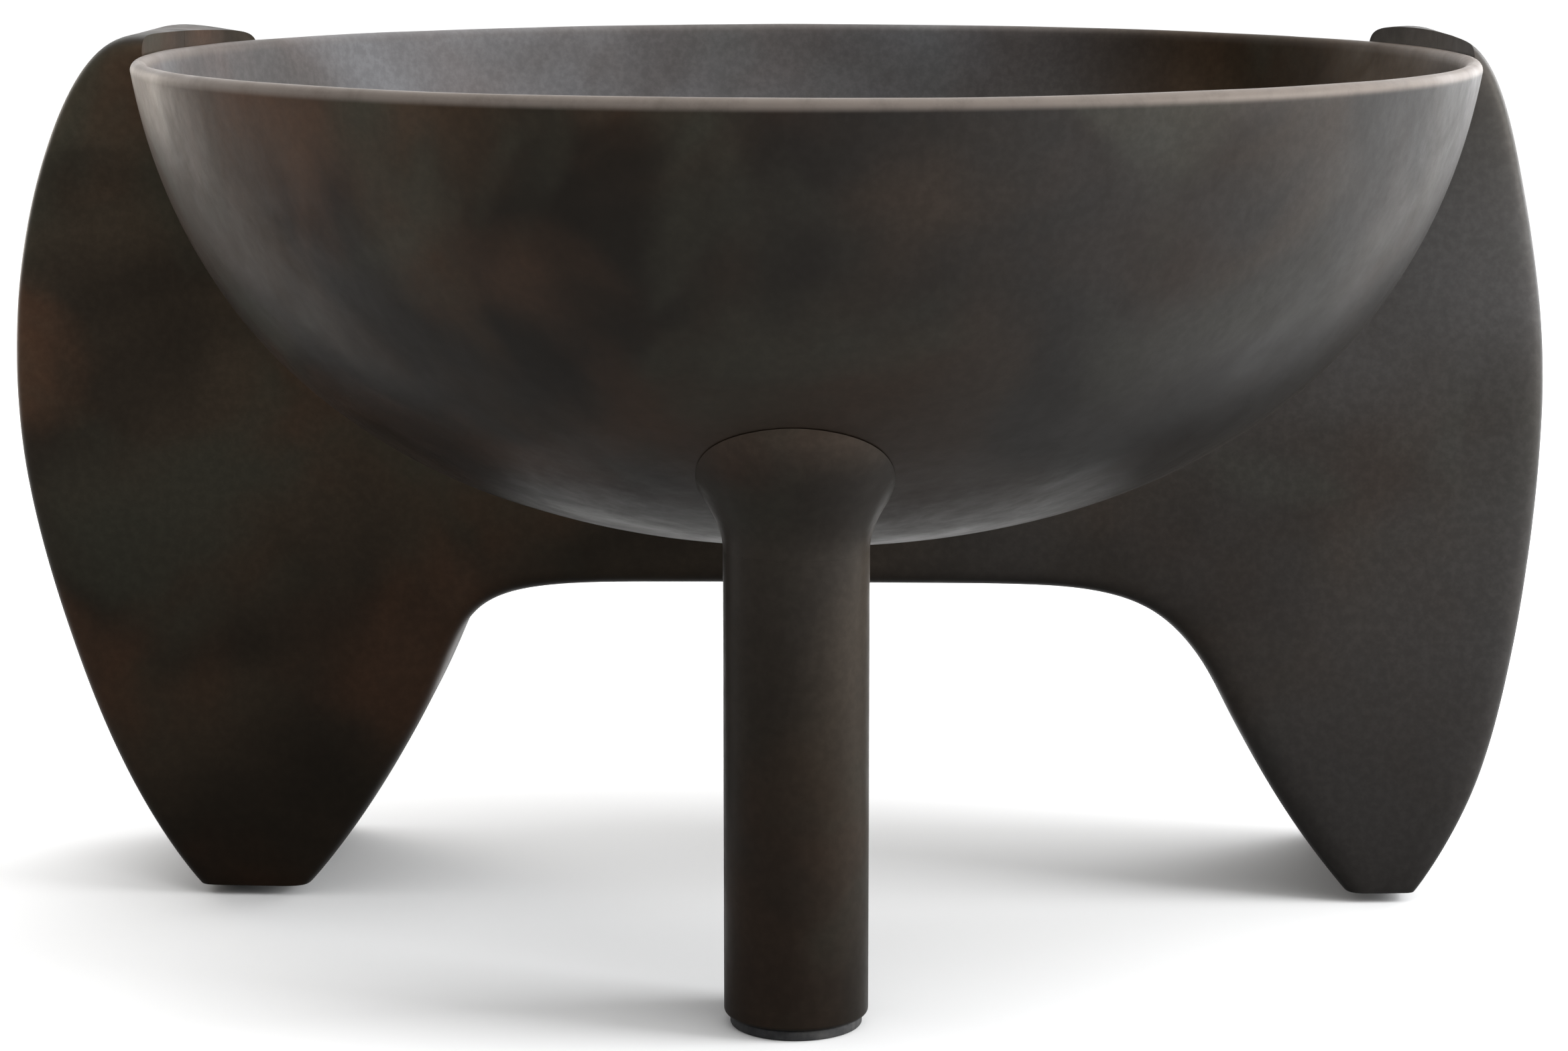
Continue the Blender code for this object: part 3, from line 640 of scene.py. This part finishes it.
class Nodes:
    """A short way to build a node tree."""

    def __init__(self, name):
        self.material = bpy.data.materials.new(name)
        self.material.use_nodes = True
        self.tree = self.material.node_tree
        self.shader = self.tree.nodes["Principled BSDF"]
        self.place = self.new("ShaderNodeTexCoord").outputs["Object"]

    def new(self, kind, **values):
        node = self.tree.nodes.new(kind)
        for key, value in values.items():
            setattr(node, key, value)
        return node

    def link(self, source, target):
        self.tree.links.new(source, target)

    def feed(self, socket, value):
        if isinstance(value, bpy.types.NodeSocket):
            self.link(value, socket)
        else:
            socket.default_value = value

    def noise(self, size, detail=4.0, rough=0.55, warp=0.0, offset=(0, 0, 0)):
        """Noise whose patches are about this size in metres."""
        move = self.new("ShaderNodeMapping")
        move.inputs["Location"].default_value = offset
        self.link(self.place, move.inputs["Vector"])
        node = self.new("ShaderNodeTexNoise")
        self.link(move.outputs["Vector"], node.inputs["Vector"])
        node.inputs["Scale"].default_value = 1.0 / size
        node.inputs["Detail"].default_value = detail
        node.inputs["Roughness"].default_value = rough
        node.inputs["Distortion"].default_value = warp
        return node.outputs["Fac"]

    def band(self, value, low, high, out_low=0.0, out_high=1.0):
        node = self.new("ShaderNodeMapRange", interpolation_type="SMOOTHSTEP")
        self.feed(node.inputs["Value"], value)
        for key, number in (("From Min", low), ("From Max", high),
                            ("To Min", out_low), ("To Max", out_high)):
            node.inputs[key].default_value = number
        return node.outputs["Result"]

    def mix(self, factor, first, second, blend="MIX"):
        node = self.new("ShaderNodeMix", data_type="RGBA", blend_type=blend)
        self.feed(node.inputs[0], factor)
        for socket, colour in ((node.inputs[6], first), (node.inputs[7], second)):
            self.feed(socket, colour if isinstance(colour, bpy.types.NodeSocket) else (*colour, 1.0))
        return node.outputs[2]

    def grey(self, value):
        node = self.new("ShaderNodeCombineColor")
        for socket in node.inputs:
            self.link(value, socket)
        return node.outputs[0]

    def math(self, operation, first, second):
        node = self.new("ShaderNodeMath", operation=operation)
        self.feed(node.inputs[0], first)
        self.feed(node.inputs[1], second)
        return node.outputs[0]

    def axis(self, name):
        node = self.new("ShaderNodeSeparateXYZ")
        self.link(self.place, node.inputs[0])
        return node.outputs[name]

    def facing_up(self):
        node = self.new("ShaderNodeSeparateXYZ")
        self.link(self.new("ShaderNodeTexCoord").outputs["Normal"], node.inputs[0])
        return node.outputs["Z"]

    def bumps(self, *layers):
        """Bump layers of (height socket, depth in metres)."""
        before = None
        for height, depth in layers:
            node = self.new("ShaderNodeBump")
            node.inputs["Strength"].default_value = 1.0
            node.inputs["Distance"].default_value = depth
            self.link(height, node.inputs["Height"])
            if before:
                self.link(before, node.inputs["Normal"])
            before = node.outputs["Normal"]
        self.link(before, self.shader.inputs["Normal"])


def painted_shade(n, colour, shade_tops):
    """Painted shade: undersides and everything near the floor are darker, and on the yoke the faces that
    look up are darker too.
    """
    up = n.facing_up()
    shade_of = n.band(up, -0.95, 0.25, 0.22, 1.0)
    # Painted shade on the yoke's up-facing tops
    if shade_tops:
        shade_of = n.math("MULTIPLY", shade_of, n.band(up, 0.40, 0.95, 1.0, 0.40))
    # Painted shade, darker towards the floor and lighter up high
    shade_of = n.math("MULTIPLY", shade_of, n.band(n.axis("Z"), 0.0, 0.42, 0.45, 1.20))
    return n.mix(1.0, colour, n.grey(shade_of), "MULTIPLY")


def lip_highlight_and_wear(n, colour):
    """The rounded lip is painted light, most of all at the front: a painted highlight from above, with
    rubbed wear.
    """
    lip_light = n.band(n.axis("Z"), bowl_high.z - 0.0075, bowl_high.z - 0.0035)
    lip_light = n.math("MULTIPLY", lip_light, n.band(n.noise(0.020, 6.0, 0.7), 0.25, 0.60, 0.70, 0.95))
    lip_light = n.math("MULTIPLY", lip_light, n.band(n.axis("Y"), -0.10, 0.22, 1.0, 0.15))
    return n.mix(lip_light, colour, LIP_LIGHT)


def patina(name, surface):
    """Dark waxed patina: red-brown, olive and blue-grey clouds over a near-black brown; the blue-grey also
    rises across X as painted light on the lit side, undersides get painted shade and the lip a painted
    highlight.
    """
    n = Nodes(name)
    black, brown, slate_and_light, lit_side_across = PATINAS[surface]
    bowl_outside, inside = surface == "bowl", surface == "bowl_inside"
    tone = n.noise(0.20, 3.0, 0.50, 0.5)
    colour = n.mix(n.band(tone, 0.40, 0.62), black, brown)
    rusty = n.band(n.noise(0.15, 3.0, 0.50, 0.5, (3, 1, 2)), 0.45, 0.68)
    rusty = n.math("MULTIPLY", rusty, n.band(n.axis("X"), -0.32, 0.10, 0.85, 0.20))
    colour = n.mix(rusty, colour, RUST)
    green = n.band(n.noise(0.13, 3.0, 0.50, 0.5, (7, 2, 5)), 0.48, 0.70, 0.0, 0.75)
    colour = n.mix(green, colour, OLIVE)
    # Painted light: the blue-grey rises across X towards the lit side, in noisy patches
    grey = n.math("MULTIPLY", n.band(n.axis("X"), *lit_side_across),
                  n.band(n.noise(0.30, 4.0, 0.5, 0.5, (2, 6, 1)), 0.32, 0.62, 0.35, 1.0))
    colour = n.mix(grey, colour, slate_and_light)
    grain = n.noise(0.005, 6.0, 0.65)
    colour = n.mix(1.0, colour, n.grey(n.band(grain, 0.35, 0.70, 0.90, 1.12)), "MULTIPLY")
    rubbed = n.band(n.noise(0.040, 8.0, 0.7, 0.5, (1, 9, 4)), 0.56, 0.82, 0.0, 0.22)
    colour = n.mix(rubbed, colour, RUBBED)
    if not inside:
        # Painted shade on undersides, low parts and the yoke's tops
        colour = painted_shade(n, colour, shade_tops=not bowl_outside)
    if surface != "yoke":
        # Painted highlight on the lip, with wear
        colour = lip_highlight_and_wear(n, colour)
    n.link(colour, n.shader.inputs["Base Color"])
    rough = n.band(n.noise(0.05, 6.0, 0.65, 0.3, (5, 5, 0)), 0.30, 0.75, 0.35, 0.50)
    n.link(rough, n.shader.inputs["Roughness"])
    n.shader.inputs["Specular IOR Level"].default_value = 0.08 if bowl_outside else 0.04
    n.shader.inputs["Specular Tint"].default_value = (1.0, 0.88, 0.74, 1.0)
    n.shader.inputs["Sheen Weight"].default_value = 0.02 if bowl_outside else 0.0
    n.shader.inputs["Sheen Roughness"].default_value = 0.34
    n.shader.inputs["Sheen Tint"].default_value = (1.0, 0.93, 0.86, 1.0)
    n.bumps((n.noise(0.045, 3.0, 0.5), 0.0010), (grain, 0.00006))
    return n.material


def rubber(name):
    n = Nodes(name)
    dust = n.band(n.noise(0.012, 6.0, 0.7), 0.45, 0.75)
    n.link(n.mix(dust, (0.012, 0.012, 0.013), (0.040, 0.038, 0.036)), n.shader.inputs["Base Color"])
    n.link(n.band(n.noise(0.004, 4.0), 0.3, 0.7, 0.62, 0.85), n.shader.inputs["Roughness"])
    n.bumps((n.noise(0.0012, 3.0), 0.00006))
    return n.material


def metal(name, dark, light, rough_low, rough_high, metallic, grain_size, depth):
    n = Nodes(name)
    cloud = n.band(n.noise(0.02, 6.0, 0.65, 0.4), 0.35, 0.70)
    colour = n.mix(cloud, dark, light)
    grain = n.noise(grain_size, 5.0, 0.7)
    colour = n.mix(1.0, colour, n.grey(n.band(grain, 0.3, 0.7, 0.78, 1.2)), "MULTIPLY")
    n.link(colour, n.shader.inputs["Base Color"])
    n.link(n.band(n.noise(0.008, 5.0, 0.6), 0.3, 0.7, rough_low, rough_high),
           n.shader.inputs["Roughness"])
    n.shader.inputs["Metallic"].default_value = metallic
    n.bumps((grain, depth))
    return n.material


# Patina colours that every surface shares; the last is the lip's painted highlight, with wear
RUST, OLIVE = (0.0560, 0.0280, 0.0155), (0.0290, 0.0290, 0.0205)
RUBBED, LIP_LIGHT = (0.045, 0.034, 0.025), (0.150, 0.128, 0.113)
# Each surface: near-black, brown, blue-grey that also paints light, and how the blue-grey comes up across
# X towards the lit side
PATINAS = {
    "yoke": ((0.0160, 0.0122, 0.0084), (0.0360, 0.0262, 0.0170), (0.0540, 0.0525, 0.0520),
             (-0.15, 0.42, 0.05, 0.90)),
    "bowl": ((0.0040, 0.0028, 0.0018), (0.0260, 0.0158, 0.0088), (0.0400, 0.0400, 0.0405),
             (-0.15, 0.42, 0.05, 0.90)),
    # Inside the bowl: a lighter copy, painted light, whose blue-grey paints the lit left inside wall
    "bowl_inside": ((0.0200, 0.0132, 0.0072), (0.0480, 0.0310, 0.0180), (0.1700, 0.1720, 0.1820),
                    (0.27, -0.04, 0.0, 0.95)),
}
LOOKS = {
    "patina": patina("patina", "yoke"),
    "bowl": patina("bowl_patina", "bowl"),
    "bowl_inside": patina("bowl_inside_patina", "bowl_inside"),
    "rubber": rubber("rubber"),
    "steel": metal("black_steel", (0.030, 0.029, 0.028), (0.075, 0.070, 0.066), 0.32, 0.5, 0.85,
                   0.002, 0.00004),
    "zinc": metal("zinc_steel", (0.34, 0.34, 0.33), (0.52, 0.51, 0.49), 0.28, 0.45, 1.0, 0.003, 0.00003),
    "raw_iron": metal("raw_iron", (0.030, 0.028, 0.027), (0.075, 0.062, 0.052), 0.55, 0.8, 0.6,
                      0.0035, 0.00035),
}


def dress(obj, body, slot, node):
    obj.data.materials.clear()
    obj.data.materials.append(LOOKS["bowl" if node == "fire_bowl" else slot])
    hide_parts(node)
    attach(obj, body)
    return obj


def dress_cad_nodes():
    """CAD nodes that keep their own shape only get a material."""
    slots = {entry["node"]: entry["material_slot"] for entry in frame["record"]["subparts"]}
    kept = ("saddle_nut", "saddle_strap", "glide_screw", "leg_tie_nut", "drain_nut")
    for name, node in frame["nodes"].items():
        if name.startswith(kept):
            node.data.materials.clear()
            node.data.materials.append(LOOKS[slots[name]])


def add_floor():
    bm = bmesh.new()
    bmesh.ops.create_grid(bm, x_segments=1, y_segments=1, size=30)
    floor = bpy.data.objects.new("floor", mesh_from("floor", bm))
    scene.collection.objects.link(floor)
    n = Nodes("floor")
    n.link(n.mix(n.noise(0.8, 2.0), (0.88, 0.88, 0.88), (0.91, 0.91, 0.91)),
           n.shader.inputs["Base Color"])
    n.shader.inputs["Roughness"].default_value = 0.9
    floor.data.materials.append(n.material)


def area_light(name, place, target, size, power, colour):
    light = bpy.data.lights.new(name, "AREA")
    light.shape = "RECTANGLE"
    light.size, light.size_y = size
    light.energy = power
    light.color = colour
    holder = bpy.data.objects.new(name, light)
    scene.collection.objects.link(holder)
    holder.location = place
    aim = Vector(target) - Vector(place)
    holder.rotation_euler = aim.to_track_quat("-Z", "Y").to_euler()


def add_lights():
    """A studio that is bright behind and above and dim in front, and four lamps."""
    world = bpy.data.worlds.new("studio")
    world.use_nodes = True
    tree = world.node_tree
    place = tree.nodes.new("ShaderNodeTexCoord")
    towards = tree.nodes.new("ShaderNodeVectorMath")
    towards.operation = "DOT_PRODUCT"
    towards.inputs[1].default_value = SKY_BRIGHT_SIDE
    rise = tree.nodes.new("ShaderNodeMapRange")
    rise.interpolation_type = "SMOOTHSTEP"
    rise.inputs["From Min"].default_value, rise.inputs["From Max"].default_value = SKY_SPREAD
    rise.inputs["To Min"].default_value, rise.inputs["To Max"].default_value = SKY_STRENGTH
    tree.links.new(place.outputs["Generated"], towards.inputs[0])
    tree.links.new(towards.outputs["Value"], rise.inputs["Value"])
    tree.links.new(rise.outputs["Result"], tree.nodes["Background"].inputs["Strength"])
    tree.nodes["Background"].inputs["Color"].default_value = (1.0, 1.0, 1.0, 1.0)
    scene.world = world
    for light in LIGHTS:
        area_light(*light)
    scene.view_settings.view_transform = "Standard"


add_camera()
make_bowl()
make_yoke()
make_leg()
make_glides()
make_screws()
make_grate()
dress_cad_nodes()
add_floor()
add_lights()
